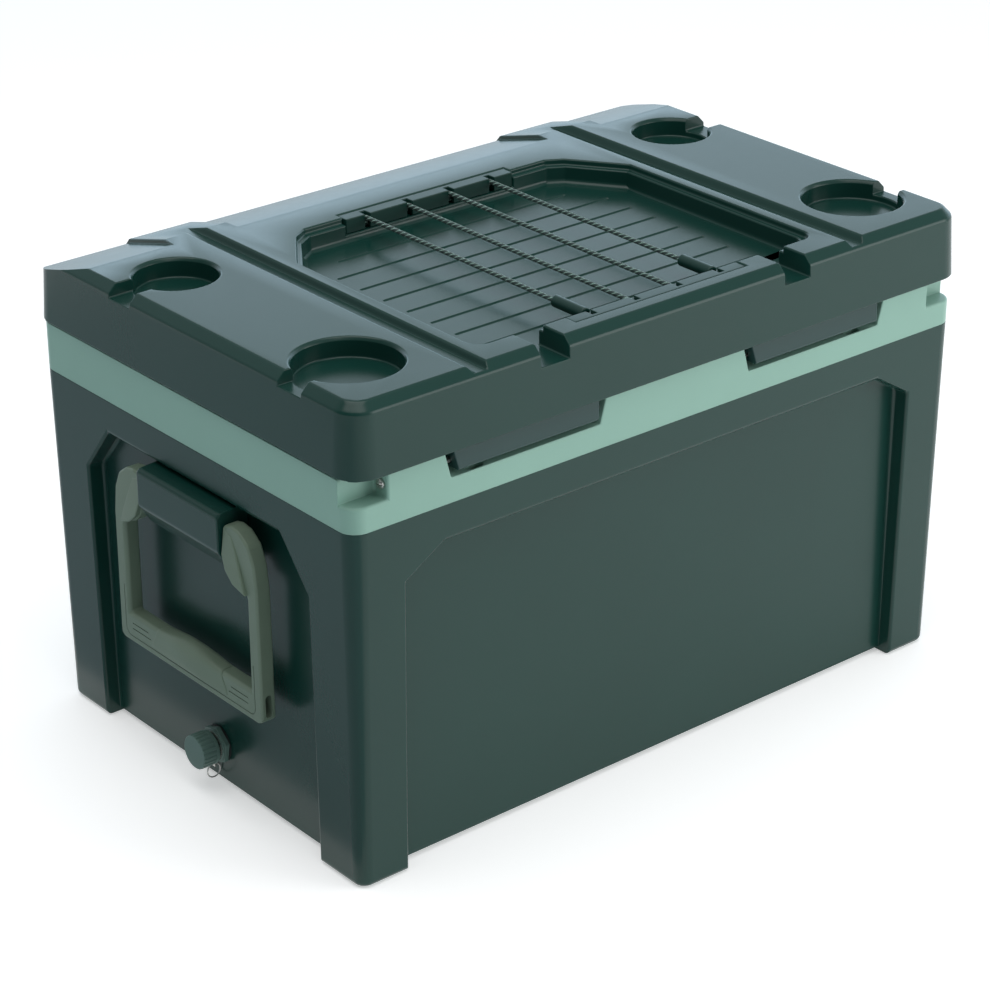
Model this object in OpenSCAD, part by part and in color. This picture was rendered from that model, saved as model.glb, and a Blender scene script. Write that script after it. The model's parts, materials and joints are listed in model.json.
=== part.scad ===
// Hard-sided picnic cooler: insulated chest on four moulded corner feet, hinged lid
// with cup holders and a bungee tray, two pull latches, two bail handles and a drain.
// Millimetres. Origin on the ground at the centre of the base, +X along the length
// away from the drain end, -Y towards the latch side, +Z up.

/* [Chest] */
// length of the chest at the collar
chest_length = 694; // [600:1:760]
// depth of the chest at the collar, front to back
chest_depth = 453; // [380:1:500]
// height of the dark outer shell
shell_height = 333; // [280:1:380]
// how far each side leans in from the collar to the ground
shell_draft = 4.4; // [0:0.1:8]
// vertical corner radius at the collar
chest_corner = 16; // [8:1:30]
// depth of the recessed panels between the corner feet
panel_recess = 18; // [8:0.5:24]
// height of the tub bottom above the ground
tub_clearance = 5; // [3:1:20]
// wall thickness of the outer shell
shell_wall = 4.5; // [3:0.5:6]
// half length of the front and back panels
front_panel_half = 292; // [250:1:310]
// half width of the end panels
end_panel_half = 163; // [120:1:190]
// height of the top edge of the panels
panel_top = 299; // [260:1:320]
// inside length of the cold box
box_length = 588; // [500:1:620]
// inside depth of the cold box, front to back
box_depth = 346; // [300:1:380]
// height of the inside floor above the ground
box_floor = 50; // [40:1:80]
// wall thickness of the inner liner
liner_wall = 3.5; // [2:0.5:5]

/* [Collar] */
// height of the top of the collar
collar_top = 378; // [360:1:400]
// half length of the raised front block between the corner pockets
block_half = 310.2; // [280:0.1:320]
// height of the ledge in the corner pockets
corner_ledge = 356; // [350:1:365]

/* [Lid] */
// length of the lid at its lower edge
lid_length = 700; // [600:1:760]
// depth of the lid at its lower edge, front to back
lid_depth = 465; // [400:1:500]
// height of the lid's lower edge
lid_bottom = 380.5; // [370:0.5:400]
// height of the flat top of the lid
lid_top = 445; // [420:1:460]
// vertical corner radius of the lid
lid_corner = 26; // [10:1:40]
// width of the bevel around the top of the lid
lid_bevel = 8; // [3:0.5:12]
// diameter of the two front cup holders
front_cup_d = 95; // [80:1:110]
// diameter of the two rear cup holders
rear_cup_d = 77; // [66:1:90]
// depth of the cup holders
cup_depth = 18; // [10:1:25]
// half length of the tray in the lid
tray_half = 193; // [150:1:200]
// depth of the tray in the lid
tray_depth = 22; // [10:1:26]

/* [Bungee] */
// diameter of the shock cord
cord_d = 4.3; // [3:0.1:6]
// spacing of the four parallel runs of cord
cord_pitch = 48.3; // [40:0.1:55]
// height of the cord runs
cord_height = 440; // [435:0.5:443]

/* [Latches] */
// distance of each latch from the middle of the front
latch_offset = 165.7; // [120:0.1:200]
// half width of a latch flap at its top
flap_half = 78.3; // [50:0.1:90]
// radius of the latch rods
latch_rod_r = 2.5; // [2:0.1:4]

/* [Handles] */
// half width of a handle mounting block
block_y = 60; // [40:1:80]
// half width of a bail over its arms
bail_half = 107; // [90:1:120]
// height of the handle pivots
pivot_height = 272; // [250:1:290]
// height of the lowest edge of a hanging bail
bail_bottom = 113.5; // [90:0.5:140]

/* [Drain] */
// height of the drain above the ground
drain_height = 39.5; // [30:0.5:60]
// diameter of the knurled drain cap
drain_cap_d = 32; // [26:1:40]

/* [Hidden] */

dark_green = [0.06, 0.15, 0.13];
sage = [0.40, 0.58, 0.50];
olive = [0.32, 0.40, 0.33];
steel = [0.70, 0.70, 0.68];
liner_grey = [0.78, 0.80, 0.78];
black_rubber = [0.05, 0.05, 0.05];
foam_cream = [0.85, 0.80, 0.62];

panel_x = chest_length / 2 - panel_recess;
panel_y = chest_depth / 2 - panel_recess;
front_panel_cut = [37, 23];
end_panel_cut = [35, 43];
shell_in_x = panel_x - shell_wall;
shell_in_y = panel_y - shell_wall;
liner_corner = 22;
sump_floor = 23;
sump_x = 256;
sump_half = 30;
gap = 0.2;
rail_floor = 349.5;
lip_half_x = 326;
lip_half_y = 195;
lip_thick = 3;

latch_y = -218;
latch_z = 367.5;
latch_pocket_back = -203;
latch_pocket_floor = 355.5;
rod_out = 310.4;
rod_in = 68;

hinge_y = 216;
hinge_z = 366;
hinge_x = 216;
hinge_half = 34;
hinge_pin_r = 3;

side_draft = 3.3;
lid_wall = 5.5;
bevel_z = lid_top - lid_bevel;
slope_start = 152;
slope_end_z = 424.5;
hump_half = 34;
hump_rise = 4;
channel_in = 205.3;
channel_out = 225.2;
channel_floor = 439.5;
cup_x = 288;
front_cup_y = -148.3;
rear_cup_y = 94;
slot_half = 15.5;
slot_floor = 433;
tray_back = 109;
tray_front = -194.5;
ledge_z = 439.5;
ledge_in = 5;
tray_floor = lid_top - tray_depth;
notch_in = 123;
notch_out = 153.4;
notch_floor = 426.5;
bar_half = 97;
bar_depth = 13;
bar_bottom = 430.3;
bar_top = 444.2;
cord_r = cord_d / 2;
bend_r = 3.5;
under_z = cord_height - 2 * bend_r;
void_top = 416;
plug_half_x = 289;
plug_half_y = 168;
plug_bottom = 360;
liner_plate_z = 381;

mount_front = 362;
mount_screw_y = 38;
mount_screw_z = 280;
mount_top = 297;
mount_low = 242;
mount_chamfer_z = 261;
mount_chamfer_x = 350;
pivot_x = 350;
handle_pin_r = 4;
bail_front = 357;
bail_back = 342;
bail_inner = 91;
bail_slot_low = 122.5;
bail_slot_high = 137.5;
bail_slot_r = 3.2;
grip_half = 58;
bail_top = 289;

drain_r = 11;
drain_bore_r = 7.5;
flange_out = panel_x + 6;
cap_out = 357;
cap_in = 340;
tether_z = 21.2;
tether_r = 6.9;
flutes = 24;

// a rounded rectangle with its corners on circles
module plate2d(l, w, r) {
    square([l - 2 * r, w], center = true);
    square([l, w - 2 * r], center = true);
    for (sx = [-1, 1], sy = [-1, 1])
        translate([sx * (l / 2 - r), sy * (w / 2 - r)]) circle(r = r, $fn = 64);
}

module slab(l, w, r, z0, z1) {
    translate([0, 0, z0]) linear_extrude(height = z1 - z0) plate2d(l, w, r);
}

// a box that leans in by inset on every side between z0 and z1
module leaning(l, w, r, z0, z1, inset) {
    rotate([90, 0, 0]) linear_extrude(height = w - 2 * r, center = true)
        polygon([[-l / 2, z0], [l / 2, z0], [l / 2 - inset, z1], [-l / 2 + inset, z1]]);
    rotate([90, 0, 90]) linear_extrude(height = l - 2 * r, center = true)
        polygon([[-w / 2, z0], [w / 2, z0], [w / 2 - inset, z1], [-w / 2 + inset, z1]]);
    for (sx = [-1, 1], sy = [-1, 1])
        translate([sx * (l / 2 - r), sy * (w / 2 - r), z0])
            cylinder(h = z1 - z0, r1 = r, r2 = r - inset, $fn = 64);
}

module block(lo, hi) {
    translate(lo) cube([hi[0] - lo[0], hi[1] - lo[1], hi[2] - lo[2]]);
}

// a profile drawn in y and z, extruded along x from x0 to x1
module along_x(x0, x1) {
    translate([x0, 0, 0]) rotate([90, 0, 90]) linear_extrude(height = x1 - x0) children();
}

// a profile drawn in x and z, extruded along y from y0 to y1
module along_y(y0, y1) {
    translate([0, y1, 0]) rotate([90, 0, 0]) linear_extrude(height = y1 - y0) children();
}

module rod_x(x0, x1, y, z, r) {
    translate([x0, y, z]) rotate([0, 90, 0]) cylinder(h = x1 - x0, r = r, $fn = 48);
}

module rod_y(x, y0, y1, z, r) {
    translate([x, y0, z]) rotate([-90, 0, 0]) cylinder(h = y1 - y0, r = r, $fn = 48);
}

module both_ends() {
    children();
    mirror([1, 0, 0]) children();
}

// the outline of a recessed panel, with its two top corners cut off by cut = [along, down]
module panel_profile(half, cut) {
    polygon([[-half, -10], [half, -10], [half, panel_top - cut[1]], [half - cut[0], panel_top],
        [-half + cut[0], panel_top], [-half, panel_top - cut[1]]]);
}

/* chest */

module foam_space(c) {
    slab(2 * (shell_in_x - c), 2 * (shell_in_y - c), 10, tub_clearance + shell_wall + c, rail_floor - c);
    slab(chest_length - 2 * (7.5 + c), chest_depth - 2 * (7.5 + c), 10, panel_top + 5 + c, rail_floor - c);
    for (sx = [-1, 1], sy = [-1, 1])
        translate([sx * (front_panel_half + shell_wall + 20.5), sy * (end_panel_half + shell_wall + 24.5), 0])
            slab(41 - 2 * c, 49 - 2 * c, 8, tub_clearance + shell_wall + c, rail_floor - c);
}

module outer_shell() {
    color(dark_green) difference() {
        translate([0, 0, shell_height]) mirror([0, 0, 1])
            leaning(chest_length, chest_depth, chest_corner, 0, shell_height, shell_draft);
        for (s = [-1, 1]) {
            along_y(s > 0 ? panel_y : -chest_depth, s > 0 ? chest_depth : -panel_y)
                panel_profile(front_panel_half, front_panel_cut);
            along_x(s > 0 ? panel_x : -chest_length, s > 0 ? chest_length : -panel_x)
                panel_profile(end_panel_half, end_panel_cut);
        }
        block([-front_panel_half, -chest_depth, -1], [front_panel_half, chest_depth, tub_clearance]);
        block([-chest_length, -end_panel_half, -1], [chest_length, end_panel_half, tub_clearance]);
        foam_space(0);
        rod_x(-panel_x - 5, -shell_in_x + 5, 0, drain_height, drain_r + 0.3);
        both_ends() for (y = [-mount_screw_y, mount_screw_y]) rod_x(-panel_x - 5, -shell_in_x + 5, y,
            mount_screw_z, 2.7);
    }
}

// the outside of the liner's tub and sump, grown by c
module liner_outside(c) {
    t = liner_wall + c;
    slab(box_length + 2 * t, box_depth + 2 * t, liner_corner + 2, box_floor - t, collar_top - lip_thick);
    block([-box_length / 2 - t, -sump_half - t, sump_floor - t], [-sump_x + t, sump_half + t, box_floor]);
}

module inner_liner() {
    color(liner_grey) difference() {
        union() {
            liner_outside(0);
            slab(2 * lip_half_x, 2 * lip_half_y, liner_corner, collar_top - lip_thick, collar_top);
        }
        slab(box_length, box_depth, liner_corner, box_floor, collar_top + 1);
        block([-box_length / 2, -sump_half, sump_floor], [-sump_x, sump_half, box_floor + 1]);
        rod_x(-box_length / 2 - 10, -box_length / 2 + 5, 0, drain_height, drain_r + 0.3);
    }
}

module chest_foam() {
    color(foam_cream) difference() {
        foam_space(gap);
        liner_outside(gap);
        slab(box_length + 18 + 2 * gap, box_depth + 18 + 2 * gap, 24, shell_height - gap, rail_floor);
        rod_x(-shell_in_x - 5, -box_length / 2 + 5, 0, drain_height, drain_r + 0.6);
        both_ends() block([-shell_in_x - 1, -50, mount_top - 30], [-shell_in_x + 10, 50, mount_top - 4]);
    }
}

module latch_pocket_2d() {
    polygon([[-79.7, latch_pocket_floor], [79.7, latch_pocket_floor], [86, collar_top + 1], [-86,
        collar_top + 1]]);
}

module top_collar() {
    color(sage) difference() {
        slab(chest_length, chest_depth, chest_corner, shell_height, collar_top);
        slab(box_length + 2 * (liner_wall + gap), box_depth + 2 * (liner_wall + gap), 24, shell_height - 1,
            collar_top + 1);
        slab(2 * lip_half_x + 0.4, 2 * lip_half_y + 0.4, 22, collar_top - lip_thick, collar_top + 1);
        difference() {
            slab(chest_length - 15, chest_depth - 15, 10, shell_height - 1, rail_floor);
            slab(box_length + 18, box_depth + 18, 24, shell_height - 2, rail_floor + 1);
        }
        for (s = [-1, 1]) {
            translate([s * latch_offset, 0, 0]) {
                along_y(-chest_depth, latch_pocket_back) latch_pocket_2d();
                translate([s * 52, latch_pocket_back - 16.5, 0]) slab(16, 8, 3.9, rail_floor - 1,
                    latch_pocket_floor + 1);
            }
            block([s > 0 ? block_half : -chest_length, -chest_depth, corner_ledge],
                [s > 0 ? chest_length : -block_half, -chest_depth / 2 + 17.5, collar_top + 1]);
            block([s * hinge_x - hinge_half, hinge_y - 11, hinge_z - 13], [s * hinge_x + hinge_half,
                chest_depth, collar_top + 1]);
            rod_x(s * hinge_x - 51, s * hinge_x + 51, hinge_y, hinge_z, hinge_pin_r + 0.03);
        }
        both_ends() rod_x(-rod_out - 5, -rod_in, latch_y, latch_z, latch_rod_r + 0.05);
        along_x(-chest_length, chest_length) polygon([[chest_depth / 2 - 3.5, collar_top + 1],
            [chest_depth / 2 + 1, collar_top + 1], [chest_depth / 2 + 1, collar_top - 3.5]]);
    }
}

module hinge_pins() {
    color(steel) for (s = [-1, 1]) rod_x(s * hinge_x - 50, s * hinge_x + 50, hinge_y, hinge_z, hinge_pin_r);
}

module latch_rods() {
    color(steel) both_ends() {
        rod_x(-rod_out, -rod_in - 1, latch_y, latch_z, latch_rod_r);
        difference() {
            intersection() {
                rod_x(-rod_out - 3.4, -rod_out, latch_y, latch_z, 4.6);
                translate([-rod_out + 2.2, latch_y, latch_z]) sphere(r = 6, $fn = 48);
            }
            block([-rod_out - 5, latch_y - 5, latch_z - 0.6], [-rod_out - 2, latch_y + 5, latch_z + 0.6]);
        }
    }
}

module latch_springs() {
    color(steel) for (s = [-1, 1]) translate([s * latch_offset, 0, 0]) {
        difference() {
            rod_x(-5, 5, latch_y, latch_z, 4.4);
            rod_x(-6, 6, latch_y, latch_z, latch_rod_r + 0.05);
        }
        translate([-4, latch_y + 3.5, latch_pocket_floor]) cylinder(h = latch_z - latch_pocket_floor,
            r = 0.8, $fn = 24);
    }
}

/* handles */

module handle_mount_left() {
    color(dark_green) difference() {
        along_y(-block_y, block_y) polygon([[-panel_x, mount_low], [-mount_chamfer_x, mount_low],
            [-mount_front, mount_chamfer_z], [-mount_front, mount_top - 4], [-mount_front + 3, mount_top - 1],
            [-chest_length / 2 + 2, mount_top], [-panel_x, mount_top]]);
        rod_y(-pivot_x, -block_y - 1, block_y + 1, pivot_height, handle_pin_r + 0.03);
        for (y = [-mount_screw_y, mount_screw_y]) rod_x(-panel_x - 16, -panel_x + 1, y, mount_screw_z, 2.5);
    }
}

module handle_mount_right() {
    mirror([1, 0, 0]) handle_mount_left();
}

module handle_pins() {
    color(steel) both_ends() rod_y(-pivot_x, -block_y - 14, block_y + 14, pivot_height, handle_pin_r);
}

module handle_plates() {
    color(steel) both_ends() difference() {
        block([-shell_in_x + 0.1, -48, mount_top - 28], [-shell_in_x + 3.1, 48, mount_top - 6]);
        for (y = [-mount_screw_y, mount_screw_y]) rod_x(-shell_in_x - 1, -shell_in_x + 5, y, mount_screw_z,
            2.7);
    }
}

module handle_screws() {
    color(steel) both_ends() for (y = [-mount_screw_y, mount_screw_y]) {
        rod_x(-panel_x - 15.5, -shell_in_x + 3.3, y, mount_screw_z, 2.4);
        rod_x(-shell_in_x + 3.3, -shell_in_x + 6.5, y, mount_screw_z, 4.6);
    }
}

module bail_outline() {
    polygon([[-bail_half, bail_bottom + 4], [-bail_half + 5, bail_bottom], [bail_half - 5, bail_bottom],
        [bail_half, bail_bottom + 4], [bail_half - 1, 238], [bail_half - 4, 262], [96, 278], [84,
            bail_top - 2],
        [72, bail_top], [block_y + 1, bail_top - 3], [block_y + 1, 259], [67, 246], [78, 236],
            [bail_inner - 2, 234],
        [bail_inner, 228], [bail_inner, 142], [-bail_inner, 142], [-bail_inner, 228], [-bail_inner + 2, 234],
        [-78, 236], [-67, 246], [-block_y - 1, 259], [-block_y - 1, bail_top - 3], [-72, bail_top],
        [-84, bail_top - 2], [-96, 278], [-bail_half + 4, 262], [-bail_half + 1, 238]]);
}

module bail_left() {
    color(olive) difference() {
        translate([-bail_front, 0, 0]) rotate([90, 0, 90]) linear_extrude(height = bail_front - bail_back)
            bail_outline();
        rod_y(-pivot_x, -block_y - 15, block_y + 15, pivot_height, handle_pin_r + 0.05);
        for (s = [-1, 1]) {
            y0 = s > 0 ? bail_inner + 2 : -bail_half - 1;
            y1 = s > 0 ? bail_half + 1 : -bail_inner - 2;
            for (z = [bail_slot_low, bail_slot_high]) rod_y(-pivot_x - 0.5, y0, y1, z, bail_slot_r);
            block([-pivot_x - 0.5 - bail_slot_r, y0, bail_slot_low], [-pivot_x - 0.5 + bail_slot_r, y1,
                bail_slot_high]);
        }
        block([-bail_front - 1, -grip_half, 121], [-bail_back + 1, grip_half, 143]);
    }
}

module bail_right() {
    mirror([1, 0, 0]) bail_left();
}

module grip_left() {
    half = grip_half - gap;
    color(olive) intersection() {
        union() {
            rod_y(-bail_back - 6.5, -half, half, 134, 12.5);
            block([-bail_front, -half, 121.2], [-bail_back, half, 134]);
        }
        block([-bail_front - 0.5, -grip_half, 121.2], [-bail_back + 5, grip_half, 150]);
    }
}

module grip_right() {
    mirror([1, 0, 0]) grip_left();
}

/* drain */

module hexagon_x(x0, x1, r) {
    translate([x0, 0, drain_height]) rotate([0, 90, 0]) rotate([0, 0, 10]) linear_extrude(height = x1 - x0)
        polygon([for (i = [0:5]) [r * cos(60 * i), r * sin(60 * i)]]);
}

module drain_spout() {
    color(sage) difference() {
        union() {
            hexagon_x(-flange_out, -panel_x - 1.6, 18.5);
            rod_x(-flange_out - 1.5, -flange_out, 0, drain_height, 14.5);
            rod_x(-352, -box_length / 2 + 10, 0, drain_height, drain_r);
        }
        rod_x(-353, -box_length / 2 + 11, 0, drain_height, drain_bore_r);
    }
}

module drain_washer() {
    color(black_rubber) difference() {
        rod_x(-panel_x - 1.6, -panel_x, 0, drain_height, 17);
        rod_x(-panel_x - 2, -panel_x + 1, 0, drain_height, drain_r + 0.1);
    }
}

module drain_nut() {
    color(sage) difference() {
        hexagon_x(-box_length / 2, -box_length / 2 + 6, 16);
        rod_x(-box_length / 2 - 1, -box_length / 2 + 7, 0, drain_height, drain_r + 0.03);
    }
}

module tether_ring() {
    color(steel) difference() {
        union() {
            rod_x(-flange_out - 2.7, -flange_out - 1.5, 0, drain_height, 13.5);
            block([-flange_out - 2.7, -3, tether_z - 2.2], [-flange_out - 1.5, 3, drain_height - 11.5]);
        }
        rod_x(-flange_out - 4, -flange_out, 0, drain_height, drain_r + 0.2);
        rod_x(-flange_out - 4, -flange_out, 0, tether_z, 1.2);
    }
}

module tether_loop() {
    color(steel) translate([-flange_out - 2.1, 0, tether_z - tether_r]) rotate([90, 0, 0])
        rotate_extrude($fn = 64) translate([tether_r, 0]) circle(r = 0.7, $fn = 24);
}

module drain_cap() {
    color(sage) difference() {
        union() {
            rod_x(-cap_out + 1, -cap_in, 0, drain_height, drain_cap_d / 2);
            translate([-cap_out, 0, drain_height]) rotate([0, 90, 0])
                cylinder(h = 1, r1 = drain_cap_d / 2 - 1, r2 = drain_cap_d / 2, $fn = 48);
        }
        rod_x(-352.3, -cap_in + 1, 0, drain_height, drain_r + 0.4);
        rod_x(-353.9, -352, 0, drain_height, drain_r);
        for (i = [0:flutes - 1]) translate([0, 0, drain_height]) rotate([360 / flutes * i, 0, 0])
            rod_x(-cap_out - 1, -cap_in - 3.5, 0, drain_cap_d / 2 + 0.7, 1.5);
    }
}

module drain_cap_seal() {
    color(black_rubber) rod_x(-353.8, -352.35, 0, drain_height, drain_r - 0.3);
}

/* lid */

// the upright rods at the eight hinge screws
module hinge_screw_rods(z0, z1, r) {
    both_ends() for (x = [-24, 24], y = [-8, 4])
        translate([hinge_x + x, hinge_y + y, z0]) cylinder(h = z1 - z0, r = r, $fn = 24);
}

module tray_2d(c) {
    w = tray_half - c;
    polygon([[-w, 48 - c * 0.4], [-w + 7, 58 - c * 0.4], [-156 + c * 0.4, 99.5 - c], [-140 + c * 0.4,
        tray_back - c],
        [140 - c * 0.4, tray_back - c], [156 - c * 0.4, 99.5 - c], [w - 7, 58 - c * 0.4], [w, 48 - c * 0.4],
        [w, tray_front + c + 14], [w - 14, tray_front + c], [-w + 14, tray_front + c], [-w,
            tray_front + c + 14]]);
    for (s = [-1, 1]) translate([s * (w - 14), tray_front + c + 14]) circle(r = 14, $fn = 48);
}

module cup_cut(x, y, d) {
    translate([x, y, lid_top - cup_depth]) cylinder(h = cup_depth + 5, r = d / 2 - 1.5, $fn = 96);
    translate([x, y, lid_top - 3]) cylinder(h = 3.01, r1 = d / 2 - 1.5, r2 = d / 2 + 0.5, $fn = 96);
    block([min(x, sign(x) * 360), y - slot_half, slot_floor], [max(x, sign(x) * 360), y + slot_half,
        lid_top + 5]);
}

module groove(x, y) {
    rod_x(-x, x, y, tray_floor + 1, 2.2);
    for (s = [-1, 1]) translate([s * x, y, tray_floor + 1]) sphere(r = 2.2, $fn = 32);
}

module slope_cut(x0, x1, rise) {
    along_x(x0, x1) polygon([[slope_start + rise * 4, lid_top], [slope_start + rise * 4, lid_top + 20],
        [300, lid_top + 20], [300, slope_end_z + rise - 18], [lid_depth / 2 - side_draft + 1,
            slope_end_z + rise - 6],
        [lid_depth / 2 - side_draft - 5, slope_end_z + rise + 0.8]]);
}

module latch_window(c, top) {
    for (s = [-1, 1]) translate([s * latch_offset, 0, 0])
        block([-84 - c, -lid_depth / 2 + (c > 0 ? 3.5 : 3), lid_bottom - 10], [84 + c,
            latch_pocket_back + c, top + c]);
}

// the hollow of the lid, where its foam lies, shrunk by c
module lid_void(c) {
    inset = 2 * (lid_wall + c);
    slab(lid_length - inset, lid_depth - inset, 20, c > 0 ? liner_plate_z + 3.1 : lid_bottom - 0.1,
        void_top - c);
    both_ends() {
        block([232 + c, -92 + c, void_top - 5], [338 - c, 44 - c, lid_top - 5 - c]);
        block([232 + c, 140 + c, void_top - 5], [334 - c, 186 - c, 430 - c]);
    }
    block([-180 + c, 124 + c, void_top - 5], [180 - c, 172 - c, 434 - c]);
}

module lid_shell() {
    color(dark_green) difference() {
        union() {
            leaning(lid_length, lid_depth, lid_corner, lid_bottom, bevel_z, side_draft);
            leaning(lid_length - 2 * side_draft, lid_depth - 2 * side_draft, lid_corner - side_draft,
                bevel_z, lid_top, lid_bevel);
        }
        slope_cut(-360, -hinge_x - hump_half, 0);
        slope_cut(-hinge_x - hump_half, -hinge_x + hump_half, hump_rise);
        slope_cut(-hinge_x + hump_half, hinge_x - hump_half, 0);
        slope_cut(hinge_x - hump_half, hinge_x + hump_half, hump_rise);
        slope_cut(hinge_x + hump_half, 360, 0);
        both_ends() {
            along_y(-240, 240) polygon([[channel_in - 0.4, lid_top + 1], [channel_in + 2.4, channel_floor],
                [channel_out - 4.6, channel_floor], [channel_out + 0.4, lid_top + 1]]);
            cup_cut(cup_x, front_cup_y, front_cup_d);
            cup_cut(cup_x, rear_cup_y, rear_cup_d);
            block([notch_in, -240, notch_floor], [notch_out, tray_front + 5, lid_top + 1]);
        }
        translate([0, 0, ledge_z]) linear_extrude(height = 10) tray_2d(0);
        translate([0, 0, tray_floor]) linear_extrude(height = 20) tray_2d(ledge_in);
        for (i = [0:6]) groove(156, 38 - 32.4 * i);
        groove(131, 70.4);
        for (y = [tray_back - ledge_in - 1, tray_front - bar_depth])
            block([-bar_half - 0.3, y, bar_bottom - 0.3], [bar_half + 0.3,
                y + bar_depth + (y < 0 ? ledge_in + 1 : 2), lid_top + 1]);
        lid_void(0);
        latch_window(0, 397);
    }
}

module liner_plate(top) {
    slab(lid_length - 2 * lid_wall - 0.4, lid_depth - 2 * lid_wall - 0.4, 20, liner_plate_z, top);
}

module plug_outside(c) {
    slab(2 * (plug_half_x - c), 2 * (plug_half_y - c), 20, plug_bottom + c, liner_plate_z + 1);
}

module lid_liner() {
    color(liner_grey) difference() {
        union() {
            liner_plate(liner_plate_z + 3);
            plug_outside(0);
            intersection() {
                latch_window(2, 397);
                liner_plate(410);
            }
        }
        slab(2 * (plug_half_x - 3), 2 * (plug_half_y - 3), 17, plug_bottom + 3, liner_plate_z + 4);
        latch_window(0, 396.8);
        hinge_screw_rods(liner_plate_z - 1, liner_plate_z + 9, 1.7);
    }
}

module lid_foam() {
    color(foam_cream) difference() {
        union() {
            lid_void(gap);
            slab(2 * (plug_half_x - 3.2), 2 * (plug_half_y - 3.2), 17, plug_bottom + 3.2, liner_plate_z + 4);
        }
        latch_window(2.3, 397);
        hinge_screw_rods(liner_plate_z, liner_plate_z + 20, 1.9);
    }
}

module lid_gasket() {
    color(black_rubber) difference() {
        slab(2 * (lip_half_x - 10), 2 * (lip_half_y - 7), 26, collar_top + 0.35, liner_plate_z);
        slab(2 * (lip_half_x - 17), 2 * (lip_half_y - 14), 20, collar_top - 1, liner_plate_z + 1);
    }
}

module hinge_knuckles() {
    x0 = hinge_x - hinge_half + 1;
    x1 = hinge_x + hinge_half - 1;
    color(dark_green) difference() {
        both_ends() {
            rod_x(x0, x1, hinge_y, hinge_z, 8);
            block([x0, hinge_y - 8, hinge_z], [x1, hinge_y + 5, liner_plate_z]);
        }
        both_ends() rod_x(x0 - 1, x1 + 1, hinge_y, hinge_z, hinge_pin_r + 0.05);
        hinge_screw_rods(hinge_z + 8, hinge_z + 18, 1.7);
    }
}

module hinge_screws() {
    color(steel) hinge_screw_rods(liner_plate_z - 6, liner_plate_z + 14, 1.6);
}

module latch_catches() {
    color(sage) for (s = [-1, 1]) translate([s * latch_offset, 0, 0])
        block([-70, -lid_depth / 2 + 3, lid_bottom + 1.2], [70, -lid_depth / 2 + 4.8, lid_bottom + 5.8]);
}

module flap(x) {
    color(dark_green) translate([x, 0, 0]) difference() {
        intersection() {
            union() {
                along_x(-flap_half, flap_half)
                    polygon([[-228.4, 361.2], [-230.4, 363], [-226.8, 379.4], [-223.4, 380.6], [-223.4,
                        387.3],
                        [-226.9, 387.7], [-226.9, 389.6], [-224.5, 392], [-219.4, 392], [-219.4, 376],
                        [-215, 372], [-215, 363], [-216.5, 361.5]]);
                rod_x(-flap_half, flap_half, latch_y, latch_z, 6);
            }
            along_y(-240, -200) polygon([[-flap_half + 3.6, 360], [flap_half - 3.6, 360], [flap_half, 380.5],
                [flap_half, 395], [-flap_half, 395], [-flap_half, 380.5]]);
        }
        rod_x(-100, 100, latch_y, latch_z, latch_rod_r + 0.05);
        block([-6, latch_y - 5, latch_z - 8], [6, latch_y + 8, latch_z + 7]);
    }
}

module latch_flap_left() {
    flap(-latch_offset);
}

module latch_flap_right() {
    flap(latch_offset);
}

/* bungee */

module bungee_bar(inner, dir) {
    difference() {
        block([-bar_half, min(inner, inner + dir * (bar_depth - 0.3)), bar_bottom],
            [bar_half, max(inner, inner + dir * (bar_depth - 0.3)), bar_top]);
        for (i = [-1.5:1:1.5])
            block([cord_pitch * i - 2.8, min(inner - dir, inner + dir * 8.6), bar_bottom - 1],
                [cord_pitch * i + 2.8, max(inner - dir, inner + dir * 8.6), bar_top + 1]);
        children();
    }
}

module bungee_bar_rear() {
    color(dark_green) bungee_bar(tray_back - ledge_in + 1, 1) {
        for (s = [-1, 1])
            block([s * cord_pitch - cord_pitch / 2, tray_back - ledge_in + 4, bar_bottom - 1],
                [s * cord_pitch + cord_pitch / 2, tray_back - ledge_in + 9.6, 436.2]);
    }
}

module bungee_bar_front() {
    color(dark_green) bungee_bar(tray_front + 0.7, -1)
        block([-cord_pitch / 2, tray_front - 8, bar_bottom - 1], [cord_pitch / 2, tray_front - 2.3, 436.2]);
}

// one quarter turn of cord from along +y to straight down
module bend_down(dir) {
    mirror([0, dir < 0 ? 1 : 0, 0]) translate([0, 0, -bend_r]) rotate([0, -90, 0])
        rotate_extrude(angle = 90, $fn = 48) translate([bend_r, 0]) circle(r = cord_r, $fn = 24);
}

// one quarter turn of cord from straight down to along +x or -x
module bend_side(dir) {
    mirror([dir < 0 ? 1 : 0, 0, 0]) translate([bend_r, 0, 0]) rotate([90, 0, 0]) rotate([0, 0, 180])
        rotate_extrude(angle = 90, $fn = 48) translate([bend_r, 0]) circle(r = cord_r, $fn = 24);
}

module cord_turn(x0, x1, y, dir) {
    for (e = [[x0, 1], [x1, -1]]) {
        translate([e[0], y, cord_height]) bend_down(dir);
        translate([e[0], y + dir * bend_r, cord_height - bend_r]) bend_side(e[1]);
    }
    rod_x(x0 + bend_r, x1 - bend_r, y + dir * bend_r, under_z, cord_r);
}

module bungee_cord() {
    rear = tray_back - ledge_in + 3.4;
    front = tray_front - 2;
    a = cord_pitch / 2;
    color(dark_green) {
        for (s = [-1, 1]) {
            rod_y(s * 3 * a, tray_front - 5, rear, cord_height, cord_r);
            rod_y(s * a, front, rear, cord_height, cord_r);
        }
        cord_turn(-3 * a, -a, rear, 1);
        cord_turn(a, 3 * a, rear, 1);
        cord_turn(-a, a, front, -1);
    }
}

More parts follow.
